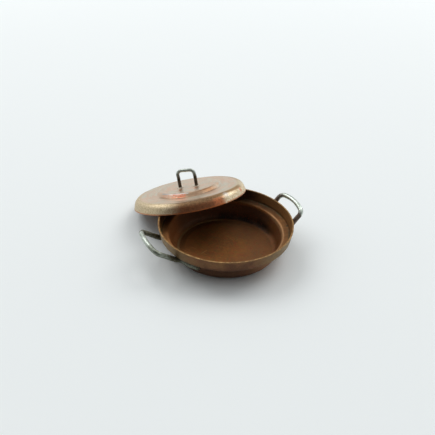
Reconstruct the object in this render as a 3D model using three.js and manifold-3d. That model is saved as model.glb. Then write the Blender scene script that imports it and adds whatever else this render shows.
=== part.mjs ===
// A doll's house pan in thin sheet copper, with two wire handles and a loose lid.
// Millimetres, +Z up. The origin is the middle of the pan's flat base, and the handles lie
// along X. The lid is off: its skirt bears on the rim at two points and on the table at one.
import * as THREE from "three";
import { mergeVertices } from "three/addons/utils/BufferGeometryUtils.js";
import Module from "manifold-3d";

const wasm = await Module();
wasm.setup();

// Sheet, wire and the gaps between pieces that touch on the real object
const sheet = 0.3;
const handleWire = 1.08;
const loopWire = 0.78;
const gap = 0.04;
const edgeBreak = 0.07;
const overrun = 1;

// Pan, outside sizes
const panHeight = 7.05;
const baseRadius = 11.75;
const wallFlare = 1.2;
const ledgeWidth = 1.6;
const ledgeRise = 0.2;
const collarHeight = 2.62;
const collarFlare = 0.45;
const baseBend = 1.35;
const ledgeBend = 0.25;
const creaseBend = 0.2;

// Handles, to the middle of the wire. Each leg turns up at a knee, a little way from its foot.
const handleSpan = 8.66;
const kneeReach = 1.3;
const kneeCorner = 0.3;
const handleReach = 5.26;
const bowRise = 0.67;
const bowCorner = 1;
const footCorner = 0.75;
const footLength = 4.6;
const leftLegTilt = 22.5;
const leftBowTilt = 34.8;
const rightLegTilt = 37;
const rightBowTilt = 46;

// Solder at the handles' feet
const solderLength = 5;
const solderWidth = 1.7;
const solderHeight = 1.7;

// Lid, outside sizes, with the room between its skirt and the collar when it is on
const lidRoom = 0.65;
const skirtHeight = 2.2;
const skirtFlare = 0.65;
const shoulderBend = 1.3;
const bossFootRadius = 7.9;
const bossSlope = 0.8;
const bossHeight = 0.9;
const bossBend = 0.6;

// Loop on the lid, to the middle of the wire
const loopSpan = 4.02;
const loopHeight = 4.03;
const loopCorner = 1;
const loopTail = 0.4;
const loopTurn = 48.7;
const loopShift = 1.43;
const loopSlide = -0.47;
const loopHoleRoom = 0.18;

// Solder at the loop's feet, above and below the lid
const beadRadius = 1;
const beadHeight = 0.55;
const upperBeadRadius = 0.68;
const upperBeadHeight = 0.15;

// Where the lid leans: the way it falls, and how far round the skirt from there each of its two
// bearing points on the rim lies
const leanTurn = 95.6;
const bearingTurn = 61;

// Facets
const turnSteps = 54;
const bendSteps = 4;
const wireSides = 10;
const handleSteps = 72;
const loopSteps = 36;
const smallTurnSteps = 20;
const blobTurnSteps = 18;
const blobRings = 12;

// Turns in which the feet's radius and height settle
const seatTurns = 8;

const copper = { color: 0x8a5234, roughness: 0.5, metalness: 0.85 };
const wornCopper = { color: 0xb98264, roughness: 0.45, metalness: 0.85 };
const steel = { color: 0xa9aea6, roughness: 0.3, metalness: 0.9 };
const solder = { color: 0x8e9488, roughness: 0.6, metalness: 0.5 };

// Meshes and solids

function piece(name, geometry, finish) {
  const mesh = new THREE.Mesh(geometry, new THREE.MeshStandardMaterial(finish));
  mesh.name = name;
  return mesh;
}

// A section of radius and height turned about Z. Its outer side runs upward.
function turned(section, steps) {
  return new THREE.LatheGeometry(section, steps).rotateX(Math.PI / 2);
}

function solidOf(geometry) {
  const bare = geometry.clone();
  bare.deleteAttribute("normal");
  bare.deleteAttribute("uv");
  const merged = mergeVertices(bare);
  const index = merged.index.array;
  const faces = [];
  for (let i = 0; i < index.length; i += 3) {
    const [a, b, c] = index.slice(i, i + 3);
    if (a !== b && b !== c && c !== a) faces.push(a, b, c);
  }
  return new wasm.Manifold(new wasm.Mesh({
    numProp: 3,
    vertProperties: new Float32Array(merged.attributes.position.array),
    triVerts: new Uint32Array(faces),
  }));
}

function geometryOf(solid) {
  const mesh = solid.getMesh();
  const geometry = new THREE.BufferGeometry();
  geometry.setAttribute("position", new THREE.BufferAttribute(mesh.vertProperties, 3));
  geometry.setIndex(new THREE.BufferAttribute(mesh.triVerts, 1));
  geometry.computeVertexNormals();
  return geometry;
}

// Bent sheet, drawn as a section from the axis out to its cut edge

// The corners of the sheet's other face. A positive distance lies to the left of the outline.
function offsetCorners(corners, distance) {
  const normals = corners.slice(1).map((corner, i) => {
    const along = corner.clone().sub(corners[i]).normalize();
    return new THREE.Vector2(-along.y, along.x);
  });
  return corners.map((corner, i) => {
    const before = normals[Math.max(i - 1, 0)];
    const after = normals[Math.min(i, normals.length - 1)];
    const mitre = before.clone().add(after).divideScalar(1 + before.dot(after));
    return corner.clone().addScaledVector(mitre, distance);
  });
}

// The arc that rounds one corner. A bend is given by its hollow side; the other side adds the
// sheet.
function bendAt(corners, place, bend, hollowTurn) {
  const corner = corners[place];
  const arriving = corner.clone().sub(corners[place - 1]).normalize();
  const leaving = corners[place + 1].clone().sub(corner).normalize();
  const turn = Math.atan2(arriving.cross(leaving), arriving.dot(leaving));
  const radius = Math.sign(turn) === hollowTurn ? bend : bend + sheet;
  const cut = radius * Math.tan(Math.abs(turn) / 2);
  const start = corner.clone().addScaledVector(arriving, -cut);
  const toCentre = new THREE.Vector2(-arriving.y, arriving.x).multiplyScalar(Math.sign(turn));
  const centre = start.clone().addScaledVector(toCentre, radius);
  return { start, centre, radius, turn };
}

// The outline with each inner corner rounded.
function bentOutline(corners, bends, hollowTurn) {
  const points = [corners[0]];
  bends.forEach((bend, i) => {
    const { start, centre, turn } = bendAt(corners, i + 1, bend, hollowTurn);
    for (let k = 0; k <= bendSteps; k += 1) {
      points.push(start.clone().rotateAround(centre, (turn * k) / bendSteps));
    }
  });
  points.push(corners[corners.length - 1]);
  return points;
}

// Slides the outline's end along its last stretch to a height, so the cut edge lies level.
function endAtHeight(points, height) {
  const end = points[points.length - 1];
  const along = end.clone().sub(points[points.length - 2]);
  end.addScaledVector(along, (height - end.y) / along.y);
  return points;
}

// The closed section between the sheet's two faces, with its cut edge broken.
function sheetSection(corners, bends, side) {
  const edge = corners[corners.length - 1].y;
  const near = endAtHeight(bentOutline(corners, bends, -side), edge);
  const other = offsetCorners(corners, side * sheet);
  const far = endAtHeight(bentOutline(other, bends, side), edge);
  const broken = [near, far].map((face) => {
    const end = face[face.length - 1];
    const back = face[face.length - 2].clone().sub(end).setLength(edgeBreak);
    return end.clone().add(back);
  });
  const across = far[far.length - 1].clone().sub(near[near.length - 1]).setLength(edgeBreak);
  return [
    ...near.slice(0, -1),
    broken[0],
    near[near.length - 1].clone().add(across),
    far[far.length - 1].clone().sub(across),
    broken[1],
    ...far.slice(0, -1).reverse(),
  ];
}

// Wire, as a round section along a bent path

function toward(from, to, distance) {
  return from.clone().add(to.clone().sub(from).setLength(distance));
}

// Straight stretches with a curved bend at each inner corner, cut back by the length given.
function bentPath(corners, cuts) {
  const path = new THREE.CurvePath();
  let from = corners[0];
  cuts.forEach((cut, i) => {
    const start = toward(corners[i + 1], corners[i], cut);
    const end = toward(corners[i + 1], corners[i + 2], cut);
    path.add(new THREE.LineCurve3(from, start));
    path.add(new THREE.QuadraticBezierCurve3(start, corners[i + 1], end));
    from = end;
  });
  path.add(new THREE.LineCurve3(from, corners[corners.length - 1]));
  return path;
}

function wireAlong(path, radius, steps) {
  const section = new THREE.Shape().absarc(0, 0, radius, 0, 2 * Math.PI);
  return new THREE.ExtrudeGeometry(section, {
    steps,
    curveSegments: wireSides / 2,
    extrudePath: path,
  });
}

// Pan

const wallTopRadius = baseRadius + wallFlare;
const collarFootRadius = wallTopRadius + ledgeWidth;
const rimRadius = collarFootRadius + collarFlare;

function panCorners() {
  const collarFoot = panHeight - collarHeight;
  return [
    new THREE.Vector2(0, 0),
    new THREE.Vector2(baseRadius, 0),
    new THREE.Vector2(wallTopRadius, collarFoot - ledgeRise),
    new THREE.Vector2(collarFootRadius, collarFoot),
    new THREE.Vector2(rimRadius, panHeight),
  ];
}

const panBends = [baseBend, ledgeBend, creaseBend];

// The outer radius of the lower wall at a height.
function wallRadius(height) {
  const wallHeight = panHeight - collarHeight - ledgeRise;
  return baseRadius + (wallFlare * height) / wallHeight;
}

function panBody() {
  const section = sheetSection(panCorners(), panBends, 1);
  return piece("pan_body", turned(section, turnSteps), copper);
}

// All that the pan's outside holds, grown by the gap, to cut the solder clear of it.
function panEnvelope() {
  const corners = offsetCorners(panCorners(), -gap);
  const outline = bentOutline(corners, panBends, -1);
  outline.push(new THREE.Vector2(0, panHeight));
  return solidOf(turned(outline, turnSteps));
}

// Handles

// Where the legs meet the feet. The feet lie against the wall, and past the knees the legs just
// clear the bend at the collar's foot. The wall's radius follows from the feet's height and the
// height from the radius, so the two are settled in turns.
function footSeat(tilts) {
  const crease = bendAt(panCorners(), 3, creaseBend, -1);
  const creaseReach = Math.sqrt(crease.centre.x ** 2 - (handleSpan / 2) ** 2);
  const room = crease.radius + handleWire / 2 + gap;
  let height = panHeight - collarHeight - handleWire;
  let radius = wallTopRadius;
  for (let k = 0; k < seatTurns; k += 1) {
    const wall = Math.max(wallRadius(height + handleWire / 2), wallRadius(height - handleWire / 2));
    radius = wall + handleWire / 2 + gap;
    const legReach = Math.sqrt(radius ** 2 - (handleSpan / 2) ** 2);
    const pastKnee = creaseReach - legReach - kneeReach * Math.cos(tilts.leg);
    const drop = (room + pastKnee * Math.sin(tilts.bow)) / Math.cos(tilts.bow);
    height = crease.centre.y - drop - kneeReach * Math.sin(tilts.leg);
  }
  return { radius, height, legTurn: Math.asin(handleSpan / 2 / radius), footTurn: footLength / radius };
}

function footPoint(turn, radius, height) {
  return new THREE.Vector3(radius * Math.cos(turn), radius * Math.sin(turn), height);
}

// The middle line of a handle's wire, with each foot's end drawn out by the extra length. Its
// two halves mirror each other.
function handlePath(tilts, extra) {
  const { radius, height, legTurn, footTurn } = footSeat(tilts);
  const endTurn = legTurn + footTurn + extra / radius;
  const midTurn = (legTurn + endTurn) / 2;
  const midRadius = radius / Math.cos((endTurn - legTurn) / 2);
  const root = footPoint(legTurn, radius, height);
  const low = new THREE.Vector3(Math.cos(tilts.leg), 0, Math.sin(tilts.leg));
  const rise = new THREE.Vector3(Math.cos(tilts.bow), 0, Math.sin(tilts.bow));
  const knee = root.clone().addScaledVector(low, kneeReach);
  const corner = knee.clone().addScaledVector(rise, handleReach);
  const middle = new THREE.Vector3(corner.x, 0, corner.z).addScaledVector(rise, 2 * bowRise);
  const half = [
    footPoint(endTurn, radius, height),
    footPoint(midTurn, midRadius, height),
    root,
    knee,
    corner,
  ];
  const mirrored = half.map((point) => new THREE.Vector3(point.x, -point.y, point.z)).reverse();
  const footCut = half[1].distanceTo(root) - footCorner - gap;
  const bowCut = corner.distanceTo(middle) - bowCorner - gap;
  const cuts = [footCut, footCorner, kneeCorner, bowCorner];
  return bentPath([...half, middle, ...mirrored], [...cuts, bowCut, ...cuts.reverse()]);
}

function handle(name, tilts) {
  return piece(name, wireAlong(handlePath(tilts, 0), handleWire / 2, handleSteps), steel);
}

// A lump of solder over one foot, against the wall, drawn out along the foot.
function footSolder(name, tilts, side, envelope) {
  const { radius, height, legTurn, footTurn } = footSeat(tilts);
  const lump = new THREE.SphereGeometry(1, blobTurnSteps, blobRings);
  lump.scale(solderWidth / 2, solderLength / 2, solderHeight / 2);
  lump.translate(radius - handleWire / 2, 0, height + handleWire / 2);
  lump.rotateZ(side * (legTurn + footTurn / 2));
  const wire = wireAlong(handlePath(tilts, gap), handleWire / 2 + gap, handleSteps);
  const solid = solidOf(lump).subtract(envelope).subtract(solidOf(wire));
  return piece(name, geometryOf(solid), solder);
}

function handleGroup(side, legTilt, bowTilt, turn, envelope) {
  const tilts = { leg: THREE.MathUtils.degToRad(legTilt), bow: THREE.MathUtils.degToRad(bowTilt) };
  const group = new THREE.Group();
  const rear = Math.cos(turn);
  group.add(handle(`${side}_handle`, tilts));
  group.add(footSolder(`${side}_rear_solder`, tilts, rear, envelope));
  group.add(footSolder(`${side}_front_solder`, tilts, -rear, envelope));
  group.rotation.z = turn;
  return group;
}

// Lid, in its own frame: its axis is Z and its skirt's lower edge lies at zero

const skirtRadius = collarFootRadius - sheet - lidRoom;
const bossTop = skirtHeight + bossHeight;
const loopHoleRadius = loopWire / 2 + loopHoleRoom;

// How far along the loop one of its legs stands.
function loopFoot(end) {
  return loopSlide + (end * loopSpan) / 2;
}

function lidShell() {
  const corners = [
    new THREE.Vector2(0, bossTop),
    new THREE.Vector2(bossFootRadius - bossSlope, bossTop),
    new THREE.Vector2(bossFootRadius, skirtHeight),
    new THREE.Vector2(skirtRadius - skirtFlare, skirtHeight),
    new THREE.Vector2(skirtRadius, 0),
  ];
  const section = sheetSection(corners, [bossBend, bossBend, shoulderBend], -1).reverse();
  let solid = solidOf(turned(section, turnSteps));
  [-1, 1].forEach((end) => {
    const hole = new THREE.CylinderGeometry(
      loopHoleRadius, loopHoleRadius, sheet + 2 * overrun, smallTurnSteps);
    hole.rotateX(Math.PI / 2);
    hole.translate(loopFoot(end), loopShift, bossTop - sheet / 2);
    solid = solid.subtract(solidOf(hole));
  });
  return piece("lid_shell", geometryOf(solid), wornCopper);
}

function lidLoop() {
  const foot = bossTop - sheet - loopTail;
  const top = bossTop + loopHeight;
  const corners = [
    new THREE.Vector3(loopFoot(-1), 0, foot),
    new THREE.Vector3(loopFoot(-1), 0, top),
    new THREE.Vector3(loopFoot(1), 0, top),
    new THREE.Vector3(loopFoot(1), 0, foot),
  ];
  const path = bentPath(corners, [loopCorner, loopCorner]);
  const mesh = piece("lid_loop", wireAlong(path, loopWire / 2, loopSteps), steel);
  mesh.position.y = loopShift;
  return mesh;
}

// A ring of solder that fills the hole round one leg, with a small bead above and a full one below.
function loopSolder(name, end) {
  const bore = loopWire / 2 + gap;
  const neck = loopHoleRadius - gap;
  const over = bossTop + gap;
  const under = bossTop - sheet - gap;
  const quarter = (radius, height, base) => {
    const points = [];
    for (let k = 0; k <= bendSteps; k += 1) {
      const angle = ((Math.PI / 2) * k) / bendSteps;
      const reach = bore + (radius - bore) * Math.cos(angle);
      points.push(new THREE.Vector2(reach, base + height * Math.sin(angle)));
    }
    return points;
  };
  const section = [
    ...quarter(beadRadius, -beadHeight, under).reverse(),
    new THREE.Vector2(neck, under),
    new THREE.Vector2(neck, over),
    ...quarter(upperBeadRadius, upperBeadHeight, over),
  ];
  section.push(section[0].clone());
  const mesh = piece(name, turned(section, smallTurnSteps), solder);
  mesh.position.x = loopFoot(end);
  mesh.position.y = loopShift;
  return mesh;
}

// The lid's lean. The rim and the skirt's inner edge cross at the two bearing points,
// and the skirt's outer edge touches the table at its lowest point.
function leaningLid() {
  const bearing = THREE.MathUtils.degToRad(bearingTurn);
  const fromLidAxis = (skirtRadius - sheet) * Math.cos(bearing);
  const fromPanAxis = Math.sqrt(rimRadius ** 2 - ((skirtRadius - sheet) * Math.sin(bearing)) ** 2);
  const tilt = Math.asin(panHeight / (fromLidAxis + skirtRadius));
  const lid = new THREE.Group();
  lid.position.x = fromPanAxis + fromLidAxis * Math.cos(tilt);
  lid.position.z = skirtRadius * Math.sin(tilt) + gap;
  lid.rotation.y = tilt;
  const pieces = new THREE.Group();
  pieces.rotation.z = THREE.MathUtils.degToRad(loopTurn);
  pieces.add(lidShell());
  pieces.add(lidLoop());
  pieces.add(loopSolder("loop_left_solder", 1));
  pieces.add(loopSolder("loop_right_solder", -1));
  lid.add(pieces);
  const lean = new THREE.Group();
  lean.rotation.z = THREE.MathUtils.degToRad(leanTurn);
  lean.add(lid);
  return lean;
}

const envelope = panEnvelope();
const pan = new THREE.Group();
pan.add(panBody());
pan.add(handleGroup("right", rightLegTilt, rightBowTilt, 0, envelope));
pan.add(handleGroup("left", leftLegTilt, leftBowTilt, Math.PI, envelope));
pan.add(leaningLid());

export default pan;
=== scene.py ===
"""A doll's house copper pan with two wire handles, its lid leaning on the rim.

The pieces are modelled in millimetres, as the part is, and shrunk to metres when they are done.
"""

import math

import bmesh
import bpy
from mathutils import Matrix, Vector


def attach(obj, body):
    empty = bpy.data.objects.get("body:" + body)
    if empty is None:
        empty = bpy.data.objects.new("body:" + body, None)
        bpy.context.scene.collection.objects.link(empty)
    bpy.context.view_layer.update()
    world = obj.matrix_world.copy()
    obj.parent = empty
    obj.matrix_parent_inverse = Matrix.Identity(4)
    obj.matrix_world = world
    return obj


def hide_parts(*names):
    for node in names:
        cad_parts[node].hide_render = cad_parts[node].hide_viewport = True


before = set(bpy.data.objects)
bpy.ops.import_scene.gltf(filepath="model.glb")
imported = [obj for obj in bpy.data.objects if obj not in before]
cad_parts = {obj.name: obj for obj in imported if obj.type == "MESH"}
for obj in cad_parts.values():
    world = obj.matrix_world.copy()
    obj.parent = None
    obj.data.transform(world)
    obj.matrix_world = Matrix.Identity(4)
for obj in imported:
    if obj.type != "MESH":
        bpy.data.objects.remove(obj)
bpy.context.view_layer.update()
bpy.ops.object.select_all(action="DESELECT")

MM = 0.001

# Sheet and wire, as in the part
SHEET = 0.3
HANDLE_WIRE = 1.08
LOOP_WIRE = 0.78
GAP = 0.04
EDGE_BREAK = 0.07

# Pan, outside sizes
PAN_HEIGHT = 7.05
BASE_RADIUS = 11.75
WALL_FLARE = 1.2
LEDGE_WIDTH = 1.6
LEDGE_RISE = 0.2
COLLAR_HEIGHT = 2.62
COLLAR_FLARE = 0.45
BASE_BEND = 1.35
LEDGE_BEND = 0.25
CREASE_BEND = 0.2
WALL_TOP_RADIUS = BASE_RADIUS + WALL_FLARE
COLLAR_FOOT_RADIUS = WALL_TOP_RADIUS + LEDGE_WIDTH
RIM_RADIUS = COLLAR_FOOT_RADIUS + COLLAR_FLARE
COLLAR_FOOT = PAN_HEIGHT - COLLAR_HEIGHT
LEDGE = COLLAR_FOOT - LEDGE_RISE

# Handles, to the middle of the wire. A pair of tilts is a leg's, below its knee, and the bow's.
HANDLE_SPAN = 8.66
KNEE_REACH = 1.3
KNEE_CORNER = 0.3
HANDLE_REACH = 5.26
BOW_RISE = 0.67
BOW_CORNER = 1.0
FOOT_CORNER = 0.75
FOOT_LENGTH = 4.6
LEFT_TILTS = (math.radians(22.5), math.radians(34.8))
RIGHT_TILTS = (math.radians(37), math.radians(46))
SEAT_TURNS = 8

# Solder at the handles' feet
SOLDER_LENGTH = 5.0
SOLDER_WIDTH = 1.7
SOLDER_HEIGHT = 1.7

# Lid, outside sizes
LID_ROOM = 0.65
SKIRT_HEIGHT = 2.2
SKIRT_FLARE = 0.65
SHOULDER_BEND = 1.3
BOSS_FOOT_RADIUS = 7.9
BOSS_SLOPE = 0.8
BOSS_HEIGHT = 0.9
BOSS_BEND = 0.6
SKIRT_RADIUS = COLLAR_FOOT_RADIUS - SHEET - LID_ROOM
BOSS_TOP = SKIRT_HEIGHT + BOSS_HEIGHT

# Loop on the lid, to the middle of the wire
LOOP_SPAN = 4.02
LOOP_HEIGHT = 4.03
LOOP_CORNER = 1.0
LOOP_TAIL = 0.4
LOOP_TURN = math.radians(48.7)
LOOP_SHIFT = 1.43
LOOP_SLIDE = -0.47
LOOP_HOLE = LOOP_WIRE / 2 + 0.18
LOOP_SKEW = math.radians(3.2)

# Solder at the loop's feet, above and below the lid
BEAD_RADIUS = 1.0
BEAD_HEIGHT = 0.55
UPPER_BEAD_RADIUS = 0.68
UPPER_BEAD_HEIGHT = 0.15

# Where the lid leans
LEAN_TURN = math.radians(95.6)
BEARING_TURN = math.radians(61)

# Camera
VIEW_TURN = math.radians(-28.3)
VIEW_ELEVATION = math.radians(33.53)
VIEW_ROLL = math.radians(1.92)
VIEW_DISTANCE = 127.5
RIM_PIXELS = 67.88
RIM_CENTRE_PIXEL = (225.92, 221.09)
FRAME_PIXELS = 435

# Studio, in metres, with the lamps' places as the camera sees them
LAMP_ASIDE = 0.38
LAMP_BACK = 0.36
LAMP_UP = 0.55
LAMP_SIZE = 0.5
LAMP_WATTS = 1.72
FLOOR_SIZE = 4
FARTHEST_SEEN = 20
WALL_COLOUR = (0.97, 0.99, 1, 1)
WALL_LEVEL = 0.75
DARKER_BY_CAMERA = 0.65
BY_CAMERA = (0.15, 0.65)
SEEN_WALL_LEVEL = 0.82

# Finishes: places in millimetres, the camera's sideways direction, and noise levels
# Where the floor's painted glow begins and where it is full, and its colour
FLOOR_GLOW_REACH = (150, 900)
FLOOR_GLOW = (0.33, 0.34, 0.34, 1)
PAN_SCRATCHES = (((-6.09, -0.34), (-4.41, 0.19)), ((-7.1, 2.7), (-6.4, 1.9)))
LEG_REFLECTIONS = ((1, 3.8), (-2.6, 3.3))
LINE_OFF_CENTRE = 0.143
# The camera's sideways direction, which places painted light and shade on the pan's outside
VIEW_ACROSS = (0.88, 0.47)
GRAIN_SPREAD = (0.3, 0.7)

# Facets
TURN_STEPS = 192
WIRE_SIDES = 28
SMALL_TURN_STEPS = 40
BASE_BEND_STEPS = 10
LEDGE_BEND_STEPS = 5
CREASE_BEND_STEPS = 6
SHOULDER_BEND_STEPS = 10
BOSS_EDGE_STEPS = 6
BOSS_FOOT_STEPS = 5
EDGE_STEPS = 3
FOOT_STEPS = 16
FOOT_CORNER_STEPS = 10
KNEE_STEPS = 4
LEG_STEPS = 8
WIRE_CORNER_STEPS = 12
BOW_STEPS = 12
LOOP_BAR_STEPS = 2
LUMP_SUBDIVISIONS = 4
SMOOTH_BELOW = math.radians(40)
SMOOTH_SOLDER_BELOW = math.radians(60)

# Rings that carry the sheet's unevenness between its bends, and shares of the way between bends
PAN_FLOOR_RINGS = (0.8, 2.5, 4.5, 6.5, 8.5)
BOSS_RINGS = (0.8, 2, 3.5, 5)
LID_FLAT_RINGS = (9, 10.2)
WALL_SHARES = (3 / 6, 4 / 6, 5 / 6)
COLLAR_SHARES = (2 / 6, 3 / 6, 4 / 6, 5 / 6)
SKIRT_SHARES = (0.7, 0.8, 0.9)

# Unevenness that the hand leaves: the size of its patches, its amount and its seed
PAN_WAVES = ((7, 0.14, 3), (2.2, 0.05, 5))
LID_WAVES = ((6, 0.12, 7), (2, 0.04, 9))
RIGHT_HANDLE_WAVES = ((4, 0.1, 3), (1.2, 0.035, 4))
LEFT_HANDLE_WAVES = ((4, 0.1, 7), (1.2, 0.035, 8))
LOOP_WAVES = ((3, 0.02, 4),)
SOLDER_WAVE_SIZE = 0.8
SOLDER_WAVE = 0.22

# Room for picking and merging corners, and the depth of the punch for the loop's holes
RING_ROOM = 0.02
EDGE_ROOM = SHEET / 3
LOOP_ROOM = 0.05
MERGE_ROOM = 0.01
PUNCH_DEPTH = 2

# Solder as it is run together. Each lump at a handle's foot has its share of the way along the
# foot and its size.
SOLDER_LUMPS = ((0.22, 1), (0.5, 0.92), (0.8, 0.7))
LUMP_REACH = SOLDER_LENGTH / 3.4
VOXEL = 0.12
SOLDER_SMOOTHING = 0.6
SOLDER_SMOOTHINGS = 6
NECK_RADIUS = LOOP_HOLE * 0.96
UPPER_BEAD_SPOT = Vector((0.05, 0.04, BOSS_TOP - 0.04))
UPPER_BEAD_SIZES = (UPPER_BEAD_RADIUS * 0.8, UPPER_BEAD_RADIUS * 0.84, UPPER_BEAD_HEIGHT)


# Material nodes

class Value:
    """One output of a finish's nodes. Arithmetic on it adds Math nodes."""

    def __init__(self, finish, socket):
        self.finish = finish
        self.socket = socket

    def output(self, name):
        return Value(self.finish, self.socket.node.outputs[name])

    def __add__(self, other):
        return self.finish.maths("ADD", self, other)

    def __radd__(self, other):
        return self.finish.maths("ADD", other, self)

    def __sub__(self, other):
        return self.finish.maths("SUBTRACT", self, other)

    def __rsub__(self, other):
        return self.finish.maths("SUBTRACT", other, self)

    def __mul__(self, other):
        return self.finish.maths("MULTIPLY", self, other)

    def __truediv__(self, other):
        return self.finish.maths("DIVIDE", self, other)


class Nodes:
    """A node tree of a material or the world, built node by node."""

    def __init__(self, owner):
        owner.use_nodes = True
        self.tree = owner.node_tree
        self.tree.nodes.clear()

    def node(self, kind, settings=None, sockets=None, output=None):
        """Adds a node, with its settings first, then its sockets' values or links.

        Its outcome is the output named, or else the first one that those settings turn on.
        """
        node = self.tree.nodes.new("ShaderNode" + kind)
        for name, setting in (settings or {}).items():
            setattr(node, name, setting)
        inputs = [socket for socket in node.inputs if socket.enabled]
        for name, value in (sockets or {}).items():
            by_name = [socket for socket in inputs if socket.name == name]
            socket = by_name[0] if by_name else inputs[name]
            if isinstance(value, Value):
                self.tree.links.new(value.socket, socket)
            else:
                socket.default_value = value
        outputs = [socket for socket in node.outputs if socket.enabled]
        return Value(self, node.outputs[output] if output else outputs[0])

    def maths(self, operation, *values):
        return self.node("Math", {"operation": operation}, dict(enumerate(values)))

    def between(self, value, low, high):
        """Runs smoothly from 0 at the low value to 1 at the high one."""
        return self.node("MapRange", {"interpolation_type": "SMOOTHSTEP"}, {
            "Value": value, "From Min": low, "From Max": high})

    def blend(self, factor, first, second):
        return self.node("Mix", {"data_type": "RGBA"}, {"Factor": factor, "A": first, "B": second})


class Finish(Nodes):
    """A material. Places in it are in millimetres, in the frame that its piece was drawn in."""

    def __init__(self, name, place=Matrix()):
        self.material = bpy.data.materials.new(name)
        super().__init__(self.material)
        spot, turn, _ = place.decompose()
        self.place = self.node("Mapping", {"vector_type": "TEXTURE"}, {
            "Vector": self.node("TexCoord", output="Object"),
            "Location": spot * MM,
            "Rotation": turn.to_euler(),
            "Scale": (MM, MM, MM),
        })
        parts = self.node("SeparateXYZ", {}, {"Vector": self.place})
        self.x = parts.output("X")
        self.y = parts.output("Y")
        self.z = parts.output("Z")
        self.radius = self.maths("SQRT", self.x * self.x + self.y * self.y)

    def noise(self, scale, detail, roughness, place=None):
        return self.node("TexNoise", {}, {
            "Vector": place or self.place, "Scale": scale, "Detail": detail,
            "Roughness": roughness})

    def mottle(self, scale, low, high, detail=4, place=None):
        """Patches of noise, from 0 to 1, with as hard an edge as the two levels leave."""
        return self.between(self.noise(scale, detail, 0.6, place), low, high)

    def rings(self, around, across):
        """A place whose noise runs in streaks round the axis."""
        return self.node("CombineXYZ", {}, {
            "X": self.x / self.radius * around, "Y": self.y / self.radius * around,
            "Z": self.radius * across})

    def band(self, value, middle, half, soft):
        """1 near the middle of a band, fading out past its half width."""
        away = self.maths("ABSOLUTE", value - middle)
        return self.between(away, half + soft, half)

    def sector(self, first, last, fade):
        """1 between two bearings round the axis, in degrees, fading out past them."""
        middle = math.radians((first + last) / 2)
        half = math.radians((last - first) / 2)
        facing = (self.x * math.cos(middle) + self.y * math.sin(middle)) / self.radius
        return self.between(facing, math.cos(half + math.radians(fade)), math.cos(half))

    def stain(self, spot, reach, soft, wander):
        """A patch round a spot, with an edge that wanders."""
        ragged = self.node("VectorMath", {"operation": "MULTIPLY_ADD"}, {
            0: self.noise(1.4, 3, 0.6).output("Color"), 1: (wander,) * 3, 2: self.place})
        centre = tuple(part + wander / 2 for part in spot)
        away = self.node("VectorMath", {"operation": "DISTANCE"}, {0: ragged, 1: centre},
                         output="Value")
        return self.between(away, reach + soft, reach)

    def scratches(self, *lines):
        """Fine lines on a level face, each from one place to another."""
        half, soft, end, end_soft = 0.03, 0.07, 0.2, 0.4
        total = 0
        for (x0, y0), (x1, y1) in lines:
            length = math.hypot(x1 - x0, y1 - y0)
            along_x, along_y = (x1 - x0) / length, (y1 - y0) / length
            along = (self.x - x0) * along_x + (self.y - y0) * along_y
            across = (self.x - x0) * along_y - (self.y - y0) * along_x
            total = total + self.band(across, 0, half, soft) * self.band(
                along, length / 2, length / 2 - end, end_soft)
        return total

    def coats(self, colour, **coats):
        """Lays coats over a colour in turn. Each is a mask and the colour that it brings."""
        for name, (mask, over) in coats.items():
            colour = self.blend(mask, colour, over)
            colour.socket.node.label = name.replace("_", " ")
        return colour

    def ragged(self, measure, reach):
        """A measure along the piece that wanders, for edges that aren't straight."""
        return measure + self.noise(0.8, 3, 0.6) * reach

    def rough(self, grain, least, more):
        """Roughness that grows with the grain."""
        return least + self.between(grain, *GRAIN_SPREAD) * more

    def bump(self, height, distance):
        return self.node("Bump", {}, {
            "Height": height, "Distance": distance * MM, "Strength": 1.0})

    def surface(self, sockets):
        """Ends the finish in one surface shader and gives its material."""
        shader = self.node("BsdfPrincipled", {}, sockets)
        output = self.tree.nodes.new("ShaderNodeOutputMaterial")
        self.tree.links.new(shader.socket, output.inputs["Surface"])
        return self.material


def paint(red, green, blue):
    """A colour as it shows on a screen, from 0 to 255, as the linear one that a socket takes."""
    channels = []
    for level in (red, green, blue):
        share = level / 255
        channels.append(share / 12.92 if share <= 0.04045 else ((share + 0.055) / 1.055) ** 2.4)
    return (*channels, 1)


# Modelling, with one object in edit mode at a time

def begin(name):
    """Puts the new primitive's place in its mesh and opens it for editing."""
    piece = bpy.context.object
    piece.name = name
    bpy.ops.object.transform_apply(location=True, rotation=True, scale=True)
    bpy.ops.object.mode_set(mode="EDIT")
    return piece


def done():
    bpy.ops.object.mode_set(mode="OBJECT")


def pick_corners(test):
    """Selects the corners whose places pass the test."""
    bpy.ops.mesh.select_mode(type="VERT")
    bpy.ops.mesh.select_all(action="DESELECT")
    mesh = bmesh.from_edit_mesh(bpy.context.object.data)
    for corner in mesh.verts:
        corner.select_set(test(corner.co))
    bmesh.update_edit_mesh(bpy.context.object.data)


def pick_edges(test):
    """Selects the edges that have both corners pass the test."""
    bpy.ops.mesh.select_mode(type="EDGE")
    bpy.ops.mesh.select_all(action="DESELECT")
    mesh = bmesh.from_edit_mesh(bpy.context.object.data)
    for edge in mesh.edges:
        if all(test(corner.co) for corner in edge.verts):
            edge.select_set(True)
    bmesh.update_edit_mesh(bpy.context.object.data)


def pick_open_edge():
    """Selects the edges that have a face on one side only."""
    bpy.ops.mesh.select_mode(type="EDGE")
    bpy.ops.mesh.select_all(action="DESELECT")
    bpy.ops.mesh.select_non_manifold()


def on_ring(radius, height):
    """A test for corners at a radius and a height."""
    return lambda co: (abs(math.hypot(co.x, co.y) - radius) < RING_ROOM
                       and abs(co.z - height) < RING_ROOM)


def modify(piece, kind, **settings):
    """Adds a modifier and applies it."""
    modifier = piece.modifiers.new(kind.title(), kind)
    for name, setting in settings.items():
        setattr(modifier, name, setting)
    bpy.context.view_layer.objects.active = piece
    bpy.ops.object.modifier_apply(modifier=modifier.name)


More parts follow.
